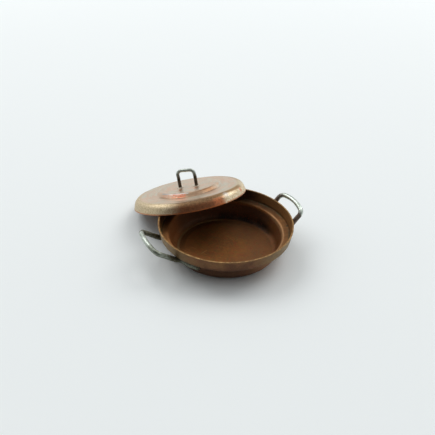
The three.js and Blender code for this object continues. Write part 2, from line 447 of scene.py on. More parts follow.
def uneven(piece, size, amount, seed, group=""):
    """The unevenness that hand work leaves, in patches of the size given."""
    texture = bpy.data.textures.new("hand work", "CLOUDS")
    texture.noise_scale = size
    texture.noise_depth = 1
    shift = bpy.data.objects.new("shift", None)
    shift.location = (seed * size, -seed * size, seed)
    bpy.context.collection.objects.link(shift)
    modify(piece, "DISPLACE", texture=texture, texture_coords="OBJECT",
           texture_coords_object=shift, direction="NORMAL", mid_level=0.5, strength=amount,
           vertex_group=group)
    bpy.data.objects.remove(shift)


def smooth(piece, below=SMOOTH_BELOW):
    """Shades a piece smooth, save at corners sharper than an angle."""
    bpy.ops.object.select_all(action="DESELECT")
    piece.select_set(True)
    bpy.context.view_layer.objects.active = piece
    bpy.ops.object.shade_smooth_by_angle(angle=below)


def settle(piece, place, body, node):
    """Puts a finished piece in its place, in metres, for the node that it stands for."""
    piece.matrix_world = Matrix.Scale(MM, 4) @ place
    bpy.ops.object.select_all(action="DESELECT")
    piece.select_set(True)
    bpy.context.view_layer.objects.active = piece
    bpy.ops.object.transform_apply(location=True, rotation=True, scale=True)
    piece.select_set(False)
    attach(piece, body)
    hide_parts(node)


# Bent sheet, drawn out ring by ring from a small disc at the middle

def drawn_sheet(name, rings):
    """Each ring is a radius and a height."""
    radius, height = rings[0]
    bpy.ops.mesh.primitive_circle_add(
        vertices=TURN_STEPS, radius=radius, fill_type="TRIFAN", location=(0, 0, height))
    piece = begin(name)
    pick_open_edge()
    for next_radius, next_height in rings[1:]:
        bpy.ops.mesh.extrude_edges_move(
            TRANSFORM_OT_translate={"value": (0, 0, next_height - height)})
        grow = next_radius / radius
        bpy.ops.transform.resize(value=(grow, grow, 1), center_override=(0, 0, next_height))
        radius, height = next_radius, next_height
    return piece


def bend(before, ring, after, radius, steps):
    """Rounds one ring of the sheet to a radius, measured on the face that is drawn."""
    arriving = Vector(ring) - Vector(before)
    leaving = Vector(after) - Vector(ring)
    cut = radius * math.tan(arriving.angle(leaving) / 2)
    pick_edges(on_ring(*ring))
    bpy.ops.mesh.bevel(affect="EDGES", offset_type="OFFSET", offset=cut, segments=steps,
                       profile=0.5, clamp_overlap=False)


def thicken(piece, edge_height):
    """Gives the sheet its thickness and a level cut edge, rounded a little.

    The outer face keeps the first material slot, the inner face takes the second and the cut
    edge the third.
    """
    modify(piece, "SOLIDIFY", thickness=SHEET, offset=-1, use_even_offset=True,
           material_offset=1, material_offset_rim=2)
    bpy.ops.object.mode_set(mode="EDIT")
    pick_corners(lambda co: abs(co.z - edge_height) < EDGE_ROOM)
    bpy.ops.transform.resize(value=(1, 1, 0), center_override=(0, 0, edge_height))
    bpy.ops.mesh.select_mode(type="EDGE")
    bpy.ops.mesh.bevel(affect="EDGES", offset=EDGE_BREAK, segments=EDGE_STEPS, profile=0.5,
                       clamp_overlap=False)
    done()


def share_of(first, last, share):
    """The ring a share of the way from one ring to another."""
    return tuple(a + (b - a) * share for a, b in zip(first, last))


def pan_rings():
    """The pan's outer face, from its middle to its rim, before its bends are rounded."""
    middle = [(radius, 0) for radius in PAN_FLOOR_RINGS]
    base = (BASE_RADIUS, 0)
    wall_top = (WALL_TOP_RADIUS, LEDGE)
    collar_foot = (COLLAR_FOOT_RADIUS, COLLAR_FOOT)
    rim = (RIM_RADIUS, PAN_HEIGHT)
    wall = [share_of(base, wall_top, share) for share in WALL_SHARES]
    collar = [share_of(collar_foot, rim, share) for share in COLLAR_SHARES]
    return middle, base, wall, wall_top, collar_foot, collar, rim


def pan_sheet(name):
    """The outer face of the pan, open at the rim."""
    middle, base, wall, wall_top, collar_foot, collar, rim = pan_rings()
    piece = drawn_sheet(name, [*middle, base, *wall, wall_top, collar_foot, *collar, rim])
    bend(middle[-1], base, wall_top, BASE_BEND + SHEET, BASE_BEND_STEPS)
    bend(base, wall_top, collar_foot, LEDGE_BEND, LEDGE_BEND_STEPS)
    bend(wall_top, collar_foot, rim, CREASE_BEND + SHEET, CREASE_BEND_STEPS)
    bpy.ops.mesh.select_all(action="SELECT")
    bpy.ops.mesh.normals_make_consistent(inside=False)
    done()
    return piece


def copper_pan(outside, inside, edge):
    """The pan's sheet, uneven above its flat base."""
    piece = pan_sheet("copper_pan")
    for finish in (outside, inside, edge):
        piece.data.materials.append(finish)
    group = piece.vertex_groups.new(name="above the base")
    for corner in piece.data.vertices:
        group.add([corner.index], min(1, corner.co.z / LEDGE), "REPLACE")
    for wave in PAN_WAVES:
        uneven(piece, *wave, group=group.name)
    thicken(piece, PAN_HEIGHT)
    smooth(piece)
    settle(piece, Matrix(), "pan", "pan_body")


def lid_rings():
    """The lid's outer face, from its middle to its edge, before its bends are rounded."""
    middle = [(radius, BOSS_TOP) for radius in BOSS_RINGS]
    boss_edge = (BOSS_FOOT_RADIUS - BOSS_SLOPE, BOSS_TOP)
    boss_foot = (BOSS_FOOT_RADIUS, SKIRT_HEIGHT)
    flat = [(radius, SKIRT_HEIGHT) for radius in LID_FLAT_RINGS]
    shoulder = (SKIRT_RADIUS - SKIRT_FLARE, SKIRT_HEIGHT)
    edge = (SKIRT_RADIUS, 0)
    skirt = [share_of(shoulder, edge, share) for share in SKIRT_SHARES]
    return middle, boss_edge, boss_foot, flat, shoulder, skirt, edge


def copper_lid(place, outside, inside, edge):
    """The lid's sheet, with a hole punched for each leg of the loop."""
    middle, boss_edge, boss_foot, flat, shoulder, skirt, rim = lid_rings()
    piece = drawn_sheet(
        "copper_lid", [*middle, boss_edge, boss_foot, *flat, shoulder, *skirt, rim])
    bend(middle[-1], boss_edge, boss_foot, BOSS_BEND + SHEET, BOSS_EDGE_STEPS)
    bend(boss_edge, boss_foot, flat[0], BOSS_BEND, BOSS_FOOT_STEPS)
    bend(flat[-1], shoulder, rim, SHOULDER_BEND + SHEET, SHOULDER_BEND_STEPS)
    bpy.ops.mesh.select_all(action="SELECT")
    bpy.ops.mesh.normals_make_consistent(inside=False)
    done()
    for finish in (outside, inside, edge):
        piece.data.materials.append(finish)
    for wave in LID_WAVES:
        uneven(piece, *wave)
    thicken(piece, 0)
    for end in (-1, 1):
        bpy.ops.mesh.primitive_cylinder_add(
            vertices=SMALL_TURN_STEPS, radius=LOOP_HOLE, depth=PUNCH_DEPTH,
            location=(LOOP_SLIDE + end * LOOP_SPAN / 2, LOOP_SHIFT, BOSS_TOP))
        punch = bpy.context.object
        modify(piece, "BOOLEAN", object=punch, operation="DIFFERENCE", solver="EXACT")
        bpy.data.objects.remove(punch)
    smooth(piece)
    settle(piece, place, "lid", "lid_shell")


# Wire, drawn out from a round section along straight stretches and turns

class Wire:
    """A wire that grows from its first section. It keeps where its end is and where it points."""

    def __init__(self, name, thickness, start, heading):
        self.end = Vector(start)
        self.heading = Vector(heading).normalized()
        bpy.ops.mesh.primitive_circle_add(
            vertices=WIRE_SIDES, radius=thickness / 2, fill_type="NOTHING", location=start,
            rotation=self.heading.to_track_quat("Z", "Y").to_euler())
        self.piece = begin(name)
        bpy.ops.mesh.select_mode(type="EDGE")
        bpy.ops.mesh.select_all(action="SELECT")

    def straight(self, length, steps):
        step = self.heading * (length / steps)
        for _ in range(steps):
            bpy.ops.mesh.extrude_edges_move(TRANSFORM_OT_translate={"value": step})
        self.end += self.heading * length

    def turn_round(self, centre, axis, angle, steps):
        """Turns about an axis through a centre. The spin operator counts its angle backwards."""
        bpy.ops.mesh.spin(steps=steps, angle=-angle, center=centre, axis=axis)
        turn = Matrix.Rotation(angle, 3, axis)
        self.end = Vector(centre) + turn @ (self.end - Vector(centre))
        self.heading = turn @ self.heading

    def turn_to(self, heading, radius, steps):
        """Turns on a radius until it points the way given."""
        heading = Vector(heading).normalized()
        axis = self.heading.cross(heading).normalized()
        across = axis.cross(self.heading)
        self.turn_round(self.end + across * radius, axis, self.heading.angle(heading), steps)

    def bend_to(self, heading, cut, steps):
        """Turns to a heading in the length that lies before the corner."""
        self.turn_to(heading, cut / math.tan(self.heading.angle(heading) / 2), steps)

    def finished(self, mirror_axis):
        """Mirrors the half that was drawn and closes its two cut ends."""
        done()
        modify(self.piece, "MIRROR", use_axis=[axis == mirror_axis for axis in "XYZ"],
               use_mirror_merge=True, merge_threshold=MERGE_ROOM)
        bpy.ops.object.mode_set(mode="EDIT")
        bpy.ops.mesh.select_all(action="SELECT")
        bpy.ops.mesh.fill_holes(sides=0)
        bpy.ops.mesh.select_all(action="SELECT")
        bpy.ops.mesh.normals_make_consistent(inside=False)
        mesh = bmesh.from_edit_mesh(self.piece.data)
        bpy.ops.mesh.select_mode(type="FACE")
        bpy.ops.mesh.select_all(action="DESELECT")
        for face in mesh.faces:
            face.select_set(len(face.verts) > 4)
        bmesh.update_edit_mesh(self.piece.data)
        bpy.ops.mesh.bevel(affect="EDGES", offset=EDGE_BREAK, segments=EDGE_STEPS,
                           clamp_overlap=False)
        done()
        return self.piece


def wall_radius(height):
    """The radius of the lower wall's outer face, which flares."""
    return BASE_RADIUS + WALL_FLARE * height / LEDGE


def foot_seat(tilts):
    """Where a leg meets its foot, clear of the bend at the collar's foot, found in turns."""
    leg, bow = tilts
    ledge = Vector((LEDGE_WIDTH, LEDGE_RISE)).normalized()
    crease = CREASE_BEND + SHEET
    cut = crease * math.tan(ledge.angle(Vector((COLLAR_FLARE, COLLAR_HEIGHT))) / 2)
    middle = Vector((COLLAR_FOOT_RADIUS, COLLAR_FOOT)) - ledge * cut
    middle += Vector((-ledge.y, ledge.x)) * crease
    crease_reach = math.sqrt(middle.x ** 2 - (HANDLE_SPAN / 2) ** 2)
    room = crease + HANDLE_WIRE / 2 + GAP
    height = COLLAR_FOOT - HANDLE_WIRE
    radius = WALL_TOP_RADIUS
    for _ in range(SEAT_TURNS):
        wall = max(wall_radius(height + HANDLE_WIRE / 2), wall_radius(height - HANDLE_WIRE / 2))
        radius = wall + HANDLE_WIRE / 2 + GAP
        leg_reach = math.sqrt(radius ** 2 - (HANDLE_SPAN / 2) ** 2)
        past_knee = crease_reach - leg_reach - KNEE_REACH * math.cos(leg)
        drop = (room + past_knee * math.sin(bow)) / math.cos(bow)
        height = middle.y - drop - KNEE_REACH * math.sin(leg)
    return radius, height, math.asin(HANDLE_SPAN / 2 / radius), FOOT_LENGTH / radius


def wire_handle(name, tilts, place, node, finish, waves):
    """Draws half the handle from its foot's end to the middle of its bow, then mirrors it."""
    radius, height, leg_turn, foot_turn = foot_seat(tilts)
    end_turn = leg_turn + foot_turn
    foot_end = (radius * math.cos(end_turn), radius * math.sin(end_turn), height)
    wire = Wire(name, HANDLE_WIRE, foot_end, (math.sin(end_turn), -math.cos(end_turn), 0))
    upright = Vector((0, 0, 1))
    wire.turn_round((0, 0, 0), upright, -(foot_turn - FOOT_CORNER / radius), FOOT_STEPS)
    low, rise = (Vector((math.cos(tilt), 0, math.sin(tilt))) for tilt in tilts)
    wire.bend_to(low, FOOT_CORNER, FOOT_CORNER_STEPS)
    wire.straight(KNEE_REACH - FOOT_CORNER - KNEE_CORNER, 1)
    wire.bend_to(rise, KNEE_CORNER, KNEE_STEPS)
    wire.straight(HANDLE_REACH - KNEE_CORNER - BOW_CORNER, LEG_STEPS)
    inward = rise * (2 * BOW_RISE) - Vector((0, HANDLE_SPAN / 2, 0))
    wire.bend_to(inward, BOW_CORNER, WIRE_CORNER_STEPS)
    across = Vector((0, -1, 0))
    wire.turn_to(across, wire.end.y / math.sin(inward.angle(across)), BOW_STEPS)
    piece = wire.finished("Y")
    for wave in waves:
        uneven(piece, *wave)
    piece.data.materials.append(finish)
    smooth(piece)
    settle(piece, place, "pan", node)


def wire_loop(place, finish):
    """Draws half the loop from below the lid, mirrors it, and skews its bar a little."""
    tail_end = (LOOP_SPAN / 2, 0, BOSS_TOP - SHEET - LOOP_TAIL)
    wire = Wire("lid_wire_loop", LOOP_WIRE, tail_end, (0, 0, 1))
    wire.straight(LOOP_HEIGHT + SHEET + LOOP_TAIL - LOOP_CORNER, LEG_STEPS)
    wire.turn_to((-1, 0, 0), LOOP_CORNER, WIRE_CORNER_STEPS)
    wire.straight(LOOP_SPAN / 2 - LOOP_CORNER, LOOP_BAR_STEPS)
    piece = wire.finished("X")
    bpy.ops.object.mode_set(mode="EDIT")
    top = BOSS_TOP + LOOP_HEIGHT
    pick_corners(lambda co: co.z > top - LOOP_CORNER - LOOP_ROOM)
    bpy.ops.transform.rotate(value=LOOP_SKEW, orient_axis="Y", center_override=(0, 0, top))
    done()
    for wave in LOOP_WAVES:
        uneven(piece, *wave)
    piece.data.materials.append(finish)
    smooth(piece)
    settle(piece, place @ Matrix.Translation((LOOP_SLIDE, LOOP_SHIFT, 0)), "lid", "lid_loop")


# Solder, run together from round lumps

def lump(centre, sizes, turn=0):
    """A round lump, with half its length, width and height."""
    bpy.ops.mesh.primitive_ico_sphere_add(
        subdivisions=LUMP_SUBDIVISIONS, radius=1, location=centre, scale=sizes,
        rotation=(0, 0, turn))
    return bpy.context.object


def run_together(name, lumps, cutter, seed):
    """Joins lumps into one skin and cuts away what would lie in the copper."""
    bpy.ops.object.select_all(action="DESELECT")
    for piece in lumps:
        piece.select_set(True)
    bpy.context.view_layer.objects.active = lumps[0]
    bpy.ops.object.join()
    piece = begin(name)
    done()
    modify(piece, "REMESH", mode="VOXEL", voxel_size=VOXEL)
    modify(piece, "SMOOTH", factor=SOLDER_SMOOTHING, iterations=SOLDER_SMOOTHINGS)
    uneven(piece, SOLDER_WAVE_SIZE, SOLDER_WAVE, seed)
    if cutter:
        modify(piece, "BOOLEAN", object=cutter, operation="DIFFERENCE", solver="EXACT")
    return piece


def foot_solder(name, tilts, side, place, node, finish, cutter, seed):
    """A lump over one foot, against the wall and the ledge, thinner toward the foot's end."""
    radius, height, leg_turn, foot_turn = foot_seat(tilts)
    lumps = []
    for share, size in SOLDER_LUMPS:
        turn = side * (leg_turn + foot_turn * share)
        reach = radius - HANDLE_WIRE / 2
        lumps.append(lump(
            (reach * math.cos(turn), reach * math.sin(turn), height + HANDLE_WIRE / 2 * size),
            (SOLDER_WIDTH / 2 * size, LUMP_REACH, SOLDER_HEIGHT / 2 * size), turn))
    piece = run_together(name, lumps, cutter, seed)
    piece.data.materials.append(finish)
    smooth(piece, SMOOTH_SOLDER_BELOW)
    settle(piece, place, "pan", node)


def loop_bead(name, end, place, node, finish, seed):
    """A bead round one leg of the loop, larger under the lid, and a neck through the hole."""
    spot = Vector((LOOP_SLIDE + end * LOOP_SPAN / 2, LOOP_SHIFT, 0))
    over = lump(spot + UPPER_BEAD_SPOT, UPPER_BEAD_SIZES)
    under = lump(spot + Vector((0, 0, BOSS_TOP - SHEET)), (BEAD_RADIUS, BEAD_RADIUS, BEAD_HEIGHT))
    bpy.ops.mesh.primitive_cylinder_add(
        vertices=SMALL_TURN_STEPS, radius=NECK_RADIUS, depth=SHEET,
        location=spot + Vector((0, 0, BOSS_TOP - SHEET / 2)))
    piece = run_together(name, [over, under, bpy.context.object], None, seed)
    piece.data.materials.append(finish)
    smooth(piece, SMOOTH_SOLDER_BELOW)
    settle(piece, place, "lid", node)


# Places

def lid_place():
    """The lid's own frame, as it leans, turned so that the loop lies along X."""
    bearing = (SKIRT_RADIUS - SHEET) * math.cos(BEARING_TURN)
    chord = (SKIRT_RADIUS - SHEET) * math.sin(BEARING_TURN)
    from_pan_axis = math.sqrt(RIM_RADIUS ** 2 - chord ** 2)
    tilt = math.asin(PAN_HEIGHT / (bearing + SKIRT_RADIUS))
    spot = (from_pan_axis + bearing * math.cos(tilt), 0, SKIRT_RADIUS * math.sin(tilt) + GAP)
    return (Matrix.Rotation(LEAN_TURN, 4, "Z") @ Matrix.Translation(spot)
            @ Matrix.Rotation(tilt, 4, "Y") @ Matrix.Rotation(LOOP_TURN, 4, "Z"))


def pan_core():
    """The pan filled to its outer face, to trim the solder with."""
    piece = pan_sheet("pan_core")
    bpy.ops.object.mode_set(mode="EDIT")
    bpy.ops.mesh.select_all(action="SELECT")
    bpy.ops.mesh.fill_holes(sides=0)
    bpy.ops.mesh.select_all(action="SELECT")
    bpy.ops.mesh.normals_make_consistent(inside=False)
    done()
    return piece


# Finishes. Each keyword in a call of coats names a coat, and they lie in the order given.

def pan_inside():
    f = Finish("aged copper inside the pan")
    grain = f.noise(2.4, 4, 0.65)
    scratches = f.scratches(*PAN_SCRATCHES)
    on_floor = f.between(f.z, 1, 0.5)
    on_wall = f.between(f.radius, 10.7, 11.3) * f.between(f.z, LEDGE, LEDGE - 0.6)
    colour = inside_copper(f, grain, on_floor, on_wall)
    colour = inside_ledge(f, colour)
    colour = inside_shades(f, colour, on_floor, on_wall)
    colour = inside_marks(f, colour)
    colour = f.coats(colour, scratches=(scratches * 0.45, paint(190, 140, 84)))
    height = grain * 0.5 + f.noise(0.9, 3, 0.5) - scratches * 0.5
    return f.surface({
        "Base Color": colour, "Metallic": 0.75, "Roughness": f.rough(grain, 0.52, 0.16),
        "Normal": f.bump(height, 0.05)})


def inside_copper(f, grain, on_floor, on_wall):
    """Brown copper, with painted shade on the right of the floor and painted light on the left."""
    right = f.sector(-80, 40, 40) * f.between(f.radius, 3, 8) * on_floor
    left = f.sector(130, 235, 40) * f.between(f.radius, 5, 11.6)
    return f.coats(
        f.blend(f.mottle(0.18, 0.34, 0.68, 2), paint(114, 74, 36), paint(132, 84, 38)),
        red_patches=(f.mottle(1.2, 0.45, 0.63, 3) * 0.6, paint(128, 62, 34)),
        olive_patches=(f.mottle(1.7, 0.48, 0.64, 3) * 0.4, paint(94, 84, 44)),
        bright_grain=(f.between(grain, 0.46, 0.7) * 0.5, paint(164, 112, 52)),
        # Painted shade on the right of the floor
        darker_right=(right * 0.5, paint(88, 60, 38)),
        redder_wall=(on_wall * f.mottle(0.6, 0.34, 0.6, 3) * 0.6, paint(132, 86, 56)),
        # Painted light on the left of the floor and wall
        brighter_left=(left * 0.72, paint(186, 126, 74)))


def inside_ledge(f, colour):
    """The ledge, collar and lip, with painted shade at the rear and painted light on the right."""
    ledge = f.between(f.z, LEDGE + 0.1, LEDGE + 0.4)
    collar = f.between(f.z, LEDGE + 0.6, LEDGE + 1.2)
    lip = f.between(f.z, LEDGE - 0.9, LEDGE - 0.2) * f.sector(-46, -10, 30)
    return f.coats(
        colour,
        ledge=(ledge * 0.8, f.blend(
            f.mottle(0.5, 0.35, 0.65), paint(100, 68, 36), paint(130, 92, 50))),
        # Painted shade at the rear of the ledge
        rear_of_ledge=(ledge * f.sector(18, 125, 26) * 0.65, paint(54, 36, 24)),
        # Painted light on the right of the collar
        right_of_collar=(collar * f.sector(-60, 25, 20) * 0.7, paint(166, 122, 72)),
        # Painted shade at the rear of the collar
        rear_of_collar=(collar * f.sector(38, 140, 18) * 0.75, paint(52, 38, 28)),
        # Painted highlight on the lip at the right
        right_of_lip=(lip * f.between(f.radius, 13.2, 12.8) * 0.7, paint(184, 142, 100)))


def inside_shades(f, colour, on_floor, on_wall):
    """Painted shade at the rear, a painted highlight along the floor's bend and a dark rear patch.
    """
    line = f.band(f.radius, 10.55, 0.1, 0.3) * on_floor
    ring = f.band(f.radius, 9.7, 0.3, 0.6) * f.sector(60, 150, 30)
    soot = f.between(f.z, 2.6, 0.9) * f.between(f.radius, 10.6, 11.2) * f.sector(10, 62, 24)
    return f.coats(
        colour,
        # Painted shade on the rear of the wall
        rear_of_wall=(on_wall * f.sector(20, 115, 25) * 0.7, paint(70, 56, 46)),
        # Painted highlight along the bend between floor and wall, at the rear left
        floor_line=(line * f.sector(90, 165, 30) * 0.75, paint(180, 154, 108)),
        # Painted shade on a ring at the rear left of the floor
        dark_ring=(ring * 0.4, paint(66, 44, 26)),
        # A dark patch in the bend between floor and wall, at the rear right
        soot=(soot * f.mottle(0.25, 0.2, 0.6, 2) * 0.9, paint(26, 22, 18)))


def inside_marks(f, colour):
    """Tarnish in the crease at the collar's foot, two stains, specks and the worn rim."""
    crease = f.band(f.radius, 14.15, 0.05, 0.2) * f.between(f.z, 5.2, 4.9)
    worn = f.between(f.z, PAN_HEIGHT - 0.25, PAN_HEIGHT - 0.05) * f.mottle(1.6, 0.35, 0.6)
    return f.coats(
        colour,
        crease=(crease * f.mottle(0.4, 0.35, 0.6) * 0.8, paint(66, 66, 46)),
        green_spot=(f.stain((13.38, -4.51, 4.68), 0.16, 0.2, 0.2), paint(44, 46, 34)),
        olive_stain=(f.stain((-13.5, 5.2, 5.3), 0.35, 0.4, 0.4) * 0.8, paint(168, 164, 104)),
        dark_specks=(f.mottle(4, 0.63, 0.73, 2) * 0.7, paint(44, 34, 26)),
        red_specks=(f.mottle(3.2, 0.6, 0.7, 2) * 0.5, paint(152, 66, 44)),
        worn_rim=(worn * 0.5, paint(168, 134, 88)))


def pan_outside():
    """Aged copper, with painted light on the collar's sides and the wall's right, painted shade on
    its left.
    """
    f = Finish("aged copper outside the pan")
    grain = f.noise(2.6, 4, 0.65)
    across = f.x * VIEW_ACROSS[0] - f.y * VIEW_ACROSS[1]
    sides = f.between(f.maths("ABSOLUTE", across), 5, 12.5)
    right = f.between(across, 3, 9)
    on_collar = f.between(f.z, 3.8, 4.6)
    on_wall = f.between(f.z, 4.4, 3.6)
    worn = f.between(f.z, PAN_HEIGHT - 0.2, PAN_HEIGHT - 0.03) * f.mottle(1.6, 0.4, 0.6)
    colour = f.coats(
        f.blend(f.mottle(0.25, 0.36, 0.66), paint(94, 60, 38), paint(124, 88, 54)),
        # Painted light on the collar's sides as the camera sees them
        sides_of_collar=(sides * on_collar * 0.7, paint(148, 126, 84)),
        # Painted light on the right of the lower wall
        right_of_wall=(right * on_wall * 0.8, paint(162, 112, 76)),
        # Painted shade on the front and left of the lower wall
        left_of_wall=((1 - right) * on_wall * 0.6, paint(84, 52, 36)),
        red_patches=(f.mottle(0.7, 0.5, 0.7) * 0.5, paint(118, 72, 50)),
        bright_grain=(f.between(grain, 0.5, 0.76) * 0.4, paint(156, 126, 88)),
        dark_specks=(f.mottle(4, 0.64, 0.74, 2) * 0.6, paint(48, 36, 28)),
        worn_rim=(worn * 0.5, paint(164, 130, 84)))
    return f.surface({
        "Base Color": colour, "Metallic": 0.7, "Roughness": f.rough(grain, 0.4, 0.2),
        "Normal": f.bump(grain * 0.5 + f.noise(0.8, 3, 0.5), 0.05)})


def cut_edge(name, place=Matrix()):
    f = Finish(name, place)
    colour = f.coats(
        f.blend(f.mottle(1.1, 0.35, 0.65), paint(132, 98, 56), paint(182, 144, 92)),
        dark_patches=(f.mottle(2.2, 0.48, 0.6) * 0.85, paint(100, 74, 46)))
    return f.surface({
        "Base Color": colour, "Metallic": 0.8, "Roughness": 0.38 + f.noise(3, 3, 0.6) * 0.2})


def lid_outside(place):
    f = Finish("worn copper of the lid", place)
    grain = f.noise(3.2, 4, 0.65)
    streaks = f.noise(1, 3, 0.6, f.rings(2.5, 1.8))
    on_skirt = f.between(f.radius, 11.4, 12.1)
    # Where the painted shade along the shoulder's bend lies, a little off the axis
    line = f.band(f.radius + f.x * LINE_OFF_CENTRE, 10.82, 0.15, 0.4) * f.sector(92, 168, 12)
    edge = f.between(f.z, 0.35, 0.12) * f.mottle(1.2, 0.3, 0.5)
    colour = lid_flat(f, streaks)
    colour = boss_step(f, colour)
    colour = loop_reflections(f, colour)
    colour = f.coats(
        colour,
        # The shoulder and the skirt: patina with painted reflections
        skirt=(on_skirt, lid_skirt(f)),
        # Painted shade along the shoulder's bend
        line_by_shoulder=(line * 0.9, paint(146, 112, 70)),
        dark_patches=(on_skirt * f.mottle(4.5, 0.52, 0.68, 3) * 0.4, paint(134, 108, 76)),
        grey_stain=(f.stain((-10.3, 7.6, 1.75), 0.2, 0.9, 0.8) * 0.5, paint(176, 178, 182)),
        red_stain=(f.stain((-12.95, 2.64, 1.25), 0.25, 0.5, 0.5) * 0.8, paint(214, 138, 102)),
        lower_edge=(edge * 0.8, paint(178, 100, 54)))
    height = grain * 0.4 + f.noise(0.7, 3, 0.5) + streaks * 0.2
    return f.surface({
        "Base Color": colour, "Metallic": 0.8,
        "Roughness": f.rough(grain, 0.3, 0.15) + on_skirt * 0.12,
        "Normal": f.bump(height, 0.035)})


def lid_flat(f, streaks):
    """Pale copper, streaked round the axis."""
    patches = f.mottle(0.4, 0.48, 0.66, place=f.rings(2, 1))
    return f.coats(
        f.blend(f.mottle(0.3, 0.38, 0.62), paint(208, 182, 158), paint(196, 188, 168)),
        red_streaks=(f.between(streaks, 0.4, 0.62) * 0.55, paint(206, 164, 132)),
        grey_patches=(patches * 0.4, paint(182, 178, 162)))


def boss_step(f, colour):
    """Painted reflections on the boss's step in brown, grey and red, and painted shade at its
    foot.
    """
    right = f.sector(104, 140, 30) * (0.6 + f.mottle(0.8, 0.3, 0.6, 3, f.rings(2, 1)) * 0.4)
    upper = f.band(f.radius, 7.12, 0.1, 0.2) * f.sector(50, 98, 10)
    lower = f.band(f.radius, 8, 0.15, 0.25) * f.sector(50, 100, 12)
    red = f.sector(54, 94, 8) * 0.35 + f.sector(76, 94, 6) * 0.5
    foot = f.band(f.radius, 8.5, 0.05, 0.2) * f.sector(84, 95, 5)
    return f.coats(
        colour,
        # Painted brown reflection on the right of the step
        right_of_step=(f.band(f.radius, 7.55, 0.35, 0.3) * right, paint(130, 94, 62)),
        # Painted brown reflection over part of the upper edge
        upper_brown=(upper * f.sector(78, 98, 10) * 0.8, paint(140, 126, 108)),
        # Painted grey highlight along the upper edge
        upper_grey=(upper * f.mottle(2.6, 0.3, 0.5) * 0.8, paint(150, 160, 162)),
        # Painted brown reflection in the bend at the step's foot
        lower_brown=(lower * 0.85, paint(146, 120, 94)),
        # Painted red reflection on the step's slope
        red=(f.band(f.radius, 7.5, 0.2, 0.25) * red * f.mottle(3.2, 0.36, 0.56),
             paint(196, 108, 78)),
        # Painted shade along the step's foot
        dark_foot=(foot * 0.8, paint(104, 78, 66)))


def loop_reflections(f, colour):
    """The loop's two legs, mirrored in the boss."""
    on_boss = f.between(f.z, 2.4, 2.9)
    for x, y in LEG_REFLECTIONS:
        leg = f.band(f.x, x, 0.25, 0.3) * f.band(f.y, y, 0.6, 0.7) * on_boss
        colour = f.coats(colour, leg_in_boss=(leg * 0.8, paint(200, 130, 86)))
    return colour


def lid_skirt(f):
    """The shoulder and the skirt: patina in patches, partly painted reflections and highlights."""
    brown = f.sector(100, 124, 28) * f.between(f.z, 1.9, 1.1)
    red = f.sector(130, 138, 5) * f.between(f.z, 1.9, 1.3) * f.mottle(2, 0.3, 0.55)
    bright = f.sector(144, 184, 9) * f.between(f.z, 1.9, 1.5)
    left = f.sector(10, 70, 26)
    return f.coats(
        f.blend(f.mottle(0.4, 0.4, 0.62), paint(164, 138, 102), paint(186, 162, 126)),
        # Dark patina and painted shade in the middle
        dark_middle=(f.sector(88, 128, 22), f.blend(
            f.mottle(2.5, 0.4, 0.6), paint(98, 74, 48), paint(126, 96, 66))),
        # Painted pale reflection on the right
        pale_right=(f.sector(150, 190, 10), paint(206, 192, 164)),
        # Brown patina and painted shade in the middle
        brown_middle=(brown, f.blend(
            f.mottle(2.2, 0.4, 0.6), paint(124, 80, 52), paint(146, 92, 60))),
        red=(red * 0.8, paint(196, 118, 76)),
        # Painted highlight on the right
        bright_right=(bright, f.blend(
            f.mottle(3, 0.4, 0.6), paint(240, 226, 198), paint(214, 190, 150))),
        # Lighter on the left: patina and painted light
        left=(left * 0.7, paint(190, 172, 138)),
        pale_left=(left * f.mottle(4, 0.4, 0.6, 3) * 0.8, paint(224, 208, 176)))


def lid_inside(place):
    f = Finish("copper inside the lid", place)
    grain = f.noise(3, 4, 0.65)
    colour = f.coats(
        f.blend(f.mottle(0.3, 0.36, 0.66), paint(112, 76, 50), paint(156, 110, 74)),
        dark_specks=(f.mottle(4, 0.62, 0.72, 2) * 0.6, paint(60, 44, 34)))
    return f.surface({
        "Base Color": colour, "Metallic": 0.65, "Roughness": f.rough(grain, 0.42, 0.2),
        "Normal": f.bump(grain, 0.05)})


def burnt_wire(f, heat, foot=0, grey=0, burnt=(paint(60, 50, 38), paint(98, 82, 64))):
    """Bright wire, with masks for where it is brown from heat, dull at its foot, or grey."""
    bright = f.coats(
        f.blend(f.mottle(1.2, 0.35, 0.65), paint(168, 176, 166), paint(208, 216, 207)),
        dull_specks=(f.mottle(3.5, 0.6, 0.74) * 0.4, paint(120, 126, 112)))
    greyed = f.blend(f.mottle(1.4, 0.38, 0.62), paint(108, 112, 98), paint(152, 158, 146))
    brown = f.coats(
        f.blend(f.mottle(1.6, 0.38, 0.62), *burnt),
        ash=(f.mottle(2.4, 0.58, 0.68) * 0.5, paint(132, 128, 106)))
    dull = f.blend(f.mottle(1.8, 0.36, 0.64), paint(92, 96, 84), paint(134, 138, 124))
    colour = f.coats(bright, grey=(grey, greyed), burnt=(heat, brown), foot=(foot * 0.8, dull))
    return f.surface({
        "Base Color": colour, "Metallic": 0.95 - heat * 0.35,
        "Roughness": 0.26 + heat * 0.22 + f.noise(2, 3, 0.6) * 0.1,
        "Normal": f.bump(f.noise(3, 3, 0.6), 0.03)})


def near_foot(f):
    """1 on a handle's foot, where solder dulls it, and 0 on its leg."""
    return f.between(f.radius, 14.4, 13.9)


def right_handle_finish():
    """Burnt brown along its legs, and slightly toward the rear of its bow."""
    f = Finish("right handle's wire")
    heat = f.between(f.ragged(f.x, 2.4), 18.35, 17.6) * 0.95
    heat = f.maths("MAXIMUM", heat, f.between(f.y, 1.8, 4) * 0.15)
    return burnt_wire(f, heat, near_foot(f), burnt=(paint(72, 52, 42), paint(104, 80, 66)))


